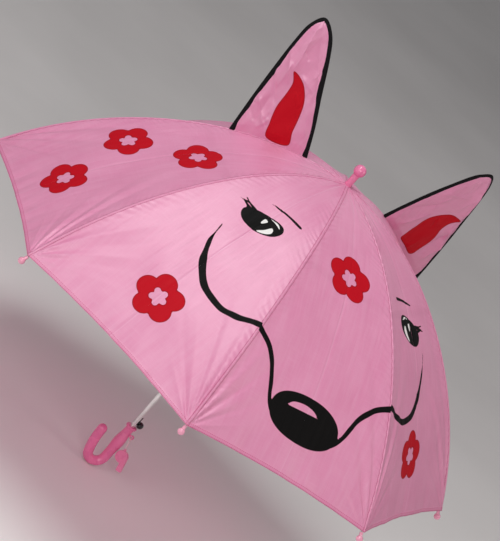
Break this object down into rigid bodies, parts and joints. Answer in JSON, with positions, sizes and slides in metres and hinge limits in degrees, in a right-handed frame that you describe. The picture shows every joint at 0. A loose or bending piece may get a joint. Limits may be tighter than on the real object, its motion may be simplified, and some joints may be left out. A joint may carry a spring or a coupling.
{
  "type": "children's umbrella",
  "caption": "Child's folding stick umbrella with a round animal-face canopy, two standing ears, a sliding runner, a J handle with a push button, and a whistle on a strap.",
  "frame": {"origin": "middle of the hand grip, on the shaft's axis", "axes": "+Z along the shaft towards the ferrule, -Y towards the nose panel of the face, -X towards the free end of the hook"},
  "size_m": [0.754, 0.754, 0.7006],
  "materials": {
    "canopy_fabric": "thin woven polyester with a faint sheen",
    "ear_fabric": "double layer of woven polyester with black binding",
    "shaft_chrome": "bright plated steel",
    "rib_steel": "plated steel",
    "notch_plastic": "black moulded plastic",
    "ferrule_plastic": "glossy pink moulded plastic",
    "tip_plastic": "glossy pink moulded plastic",
    "handle_plastic": "glossy pink moulded plastic",
    "button_plastic": "glossy black plastic",
    "strap_plastic": "soft pale pink plastic",
    "whistle_plastic": "glossy pink moulded plastic"
  },
  "bodies": {
    "frame": {"shaft_tube": "shaft_chrome", "ferrule_cap": "ferrule_plastic", "crown_notch": "notch_plastic", "handle": "handle_plastic"},
    "runner": {"runner": "notch_plastic"},
    "button": {"catch_button": "button_plastic"},
    "whistle": {"whistle": "whistle_plastic", "whistle_strap": "strap_plastic"},
    "rib_inner_1": {"rib_inner_1": "rib_steel", "canopy_upper_1": "canopy_fabric", "ear_right": "ear_fabric"},
    "rib_outer_1": {"rib_outer_1": "rib_steel", "rib_tip_1": "tip_plastic", "canopy_lower_1": "canopy_fabric"},
    "stretcher_1": {"stretcher_1": "rib_steel"},
    "rib_inner_2": {"rib_inner_2": "rib_steel", "canopy_upper_2": "canopy_fabric"},
    "rib_outer_2": {"rib_outer_2": "rib_steel", "rib_tip_2": "tip_plastic", "canopy_lower_2": "canopy_fabric"},
    "stretcher_2": {"stretcher_2": "rib_steel"},
    "rib_inner_3": {"rib_inner_3": "rib_steel", "canopy_upper_3": "canopy_fabric"},
    "rib_outer_3": {"rib_outer_3": "rib_steel", "rib_tip_3": "tip_plastic", "canopy_lower_3": "canopy_fabric"},
    "stretcher_3": {"stretcher_3": "rib_steel"},
    "rib_inner_4": {"rib_inner_4": "rib_steel", "canopy_upper_4": "canopy_fabric", "ear_left": "ear_fabric"},
    "rib_outer_4": {"rib_outer_4": "rib_steel", "rib_tip_4": "tip_plastic", "canopy_lower_4": "canopy_fabric"},
    "stretcher_4": {"stretcher_4": "rib_steel"},
    "rib_inner_5": {"rib_inner_5": "rib_steel", "canopy_upper_5": "canopy_fabric"},
    "rib_outer_5": {"rib_outer_5": "rib_steel", "rib_tip_5": "tip_plastic", "canopy_lower_5": "canopy_fabric"},
    "stretcher_5": {"stretcher_5": "rib_steel"},
    "rib_inner_6": {"rib_inner_6": "rib_steel", "canopy_upper_6": "canopy_fabric"},
    "rib_outer_6": {"rib_outer_6": "rib_steel", "rib_tip_6": "tip_plastic", "canopy_lower_6": "canopy_fabric"},
    "stretcher_6": {"stretcher_6": "rib_steel"},
    "rib_inner_7": {"rib_inner_7": "rib_steel", "canopy_upper_7": "canopy_fabric"},
    "rib_outer_7": {"rib_outer_7": "rib_steel", "rib_tip_7": "tip_plastic", "canopy_lower_7": "canopy_fabric"},
    "stretcher_7": {"stretcher_7": "rib_steel"},
    "rib_inner_8": {"rib_inner_8": "rib_steel", "canopy_upper_8": "canopy_fabric"},
    "rib_outer_8": {"rib_outer_8": "rib_steel", "rib_tip_8": "tip_plastic", "canopy_lower_8": "canopy_fabric"},
    "stretcher_8": {"stretcher_8": "rib_steel"}
  },
  "joints": [
    {"name": "runner_slide", "type": "slide", "parent": "frame", "child": "runner", "axis": [0, 0, 1], "range_m": [-0.26735, 0], "stiffness_N_per_m": 60, "springref_m": 0.12, "deforming": ["canopy_upper_1", "canopy_lower_1", "canopy_upper_2", "canopy_lower_2", "canopy_upper_3", "canopy_lower_3", "canopy_upper_4", "canopy_lower_4", "canopy_upper_5", "canopy_lower_5", "canopy_upper_6", "canopy_lower_6", "canopy_upper_7", "canopy_lower_7", "canopy_upper_8", "canopy_lower_8"]},
    {"name": "button_press", "type": "slide", "parent": "frame", "child": "button", "axis": [-1, 0, 0], "range_m": [0, 0.0018], "stiffness_N_per_m": 800, "springref_m": -0.001},
    {"name": "whistle_swing", "type": "hinge", "parent": "frame", "child": "whistle", "pos_m": [0.00764, -0.00764, 0.0131], "axis": [0.7071, 0.7071, 0], "range_deg": [-100, 0]},
    {"name": "crown_pivot_1", "type": "hinge", "parent": "frame", "child": "rib_inner_1", "pos_m": [0.00878, 0.00364, 0.48417], "axis": [-0.3827, 0.9239, 0], "range_deg": [-0.2, 69.67]},
    {"name": "rib_flex_1", "type": "hinge", "parent": "rib_inner_1", "child": "rib_outer_1", "pos_m": [0.17762, 0.07357, 0.42646], "axis": [-0.3827, 0.9239, 0], "range_deg": [-26.48, 0.2]},
    {"name": "knee_pivot_1", "type": "hinge", "parent": "rib_inner_1", "child": "stretcher_1", "pos_m": [0.17762, 0.07357, 0.42646], "axis": [-0.3827, 0.9239, 0], "range_deg": [-139.35, 0.4]},
    {"name": "crown_pivot_2", "type": "hinge", "parent": "frame", "child": "rib_inner_2", "pos_m": [0.00364, 0.00878, 0.48417], "axis": [-0.9239, 0.3827, 0], "range_deg": [-0.2, 69.67]},
    {"name": "rib_flex_2", "type": "hinge", "parent": "rib_inner_2", "child": "rib_outer_2", "pos_m": [0.07357, 0.17762, 0.42646], "axis": [-0.9239, 0.3827, 0], "range_deg": [-26.48, 0.2]},
    {"name": "knee_pivot_2", "type": "hinge", "parent": "rib_inner_2", "child": "stretcher_2", "pos_m": [0.07357, 0.17762, 0.42646], "axis": [-0.9239, 0.3827, 0], "range_deg": [-139.35, 0.4]},
    {"name": "crown_pivot_3", "type": "hinge", "parent": "frame", "child": "rib_inner_3", "pos_m": [-0.00364, 0.00878, 0.48417], "axis": [-0.9239, -0.3827, 0], "range_deg": [-0.2, 69.67]},
    {"name": "rib_flex_3", "type": "hinge", "parent": "rib_inner_3", "child": "rib_outer_3", "pos_m": [-0.07357, 0.17762, 0.42646], "axis": [-0.9239, -0.3827, 0], "range_deg": [-26.48, 0.2]},
    {"name": "knee_pivot_3", "type": "hinge", "parent": "rib_inner_3", "child": "stretcher_3", "pos_m": [-0.07357, 0.17762, 0.42646], "axis": [-0.9239, -0.3827, 0], "range_deg": [-139.35, 0.4]},
    {"name": "crown_pivot_4", "type": "hinge", "parent": "frame", "child": "rib_inner_4", "pos_m": [-0.00878, 0.00364, 0.48417], "axis": [-0.3827, -0.9239, 0], "range_deg": [-0.2, 69.67]},
    {"name": "rib_flex_4", "type": "hinge", "parent": "rib_inner_4", "child": "rib_outer_4", "pos_m": [-0.17762, 0.07357, 0.42646], "axis": [-0.3827, -0.9239, 0], "range_deg": [-26.48, 0.2]},
    {"name": "knee_pivot_4", "type": "hinge", "parent": "rib_inner_4", "child": "stretcher_4", "pos_m": [-0.17762, 0.07357, 0.42646], "axis": [-0.3827, -0.9239, 0], "range_deg": [-139.35, 0.4]},
    {"name": "crown_pivot_5", "type": "hinge", "parent": "frame", "child": "rib_inner_5", "pos_m": [-0.00878, -0.00364, 0.48417], "axis": [0.3827, -0.9239, 0], "range_deg": [-0.2, 69.67]},
    {"name": "rib_flex_5", "type": "hinge", "parent": "rib_inner_5", "child": "rib_outer_5", "pos_m": [-0.17762, -0.07357, 0.42646], "axis": [0.3827, -0.9239, 0], "range_deg": [-26.48, 0.2]},
    {"name": "knee_pivot_5", "type": "hinge", "parent": "rib_inner_5", "child": "stretcher_5", "pos_m": [-0.17762, -0.07357, 0.42646], "axis": [0.3827, -0.9239, 0], "range_deg": [-139.35, 0.4]},
    {"name": "crown_pivot_6", "type": "hinge", "parent": "frame", "child": "rib_inner_6", "pos_m": [-0.00364, -0.00878, 0.48417], "axis": [0.9239, -0.3827, 0], "range_deg": [-0.2, 69.67]},
    {"name": "rib_flex_6", "type": "hinge", "parent": "rib_inner_6", "child": "rib_outer_6", "pos_m": [-0.07357, -0.17762, 0.42646], "axis": [0.9239, -0.3827, 0], "range_deg": [-26.48, 0.2]},
    {"name": "knee_pivot_6", "type": "hinge", "parent": "rib_inner_6", "child": "stretcher_6", "pos_m": [-0.07357, -0.17762, 0.42646], "axis": [0.9239, -0.3827, 0], "range_deg": [-139.35, 0.4]},
    {"name": "crown_pivot_7", "type": "hinge", "parent": "frame", "child": "rib_inner_7", "pos_m": [0.00364, -0.00878, 0.48417], "axis": [0.9239, 0.3827, 0], "range_deg": [-0.2, 69.67]},
    {"name": "rib_flex_7", "type": "hinge", "parent": "rib_inner_7", "child": "rib_outer_7", "pos_m": [0.07357, -0.17762, 0.42646], "axis": [0.9239, 0.3827, 0], "range_deg": [-26.48, 0.2]},
    {"name": "knee_pivot_7", "type": "hinge", "parent": "rib_inner_7", "child": "stretcher_7", "pos_m": [0.07357, -0.17762, 0.42646], "axis": [0.9239, 0.3827, 0], "range_deg": [-139.35, 0.4]},
    {"name": "crown_pivot_8", "type": "hinge", "parent": "frame", "child": "rib_inner_8", "pos_m": [0.00878, -0.00364, 0.48417], "axis": [0.3827, 0.9239, 0], "range_deg": [-0.2, 69.67]},
    {"name": "rib_flex_8", "type": "hinge", "parent": "rib_inner_8", "child": "rib_outer_8", "pos_m": [0.17762, -0.07357, 0.42646], "axis": [0.3827, 0.9239, 0], "range_deg": [-26.48, 0.2]},
    {"name": "knee_pivot_8", "type": "hinge", "parent": "rib_inner_8", "child": "stretcher_8", "pos_m": [0.17762, -0.07357, 0.42646], "axis": [0.3827, 0.9239, 0], "range_deg": [-139.35, 0.4]}
  ],
  "couplings": [
    {"joint": "crown_pivot_1", "follows": "runner_slide", "rad_per_m": -4.5355},
    {"joint": "rib_flex_1", "follows": "runner_slide", "rad_per_m": 1.7153},
    {"joint": "knee_pivot_1", "follows": "runner_slide", "rad_per_m": 9.0711},
    {"joint": "crown_pivot_2", "follows": "runner_slide", "rad_per_m": -4.5355},
    {"joint": "rib_flex_2", "follows": "runner_slide", "rad_per_m": 1.7153},
    {"joint": "knee_pivot_2", "follows": "runner_slide", "rad_per_m": 9.0711},
    {"joint": "crown_pivot_3", "follows": "runner_slide", "rad_per_m": -4.5355},
    {"joint": "rib_flex_3", "follows": "runner_slide", "rad_per_m": 1.7153},
    {"joint": "knee_pivot_3", "follows": "runner_slide", "rad_per_m": 9.0711},
    {"joint": "crown_pivot_4", "follows": "runner_slide", "rad_per_m": -4.5355},
    {"joint": "rib_flex_4", "follows": "runner_slide", "rad_per_m": 1.7153},
    {"joint": "knee_pivot_4", "follows": "runner_slide", "rad_per_m": 9.0711},
    {"joint": "crown_pivot_5", "follows": "runner_slide", "rad_per_m": -4.5355},
    {"joint": "rib_flex_5", "follows": "runner_slide", "rad_per_m": 1.7153},
    {"joint": "knee_pivot_5", "follows": "runner_slide", "rad_per_m": 9.0711},
    {"joint": "crown_pivot_6", "follows": "runner_slide", "rad_per_m": -4.5355},
    {"joint": "rib_flex_6", "follows": "runner_slide", "rad_per_m": 1.7153},
    {"joint": "knee_pivot_6", "follows": "runner_slide", "rad_per_m": 9.0711},
    {"joint": "crown_pivot_7", "follows": "runner_slide", "rad_per_m": -4.5355},
    {"joint": "rib_flex_7", "follows": "runner_slide", "rad_per_m": 1.7153},
    {"joint": "knee_pivot_7", "follows": "runner_slide", "rad_per_m": 9.0711},
    {"joint": "crown_pivot_8", "follows": "runner_slide", "rad_per_m": -4.5355},
    {"joint": "rib_flex_8", "follows": "runner_slide", "rad_per_m": 1.7153},
    {"joint": "knee_pivot_8", "follows": "runner_slide", "rad_per_m": 9.0711}
  ]
}
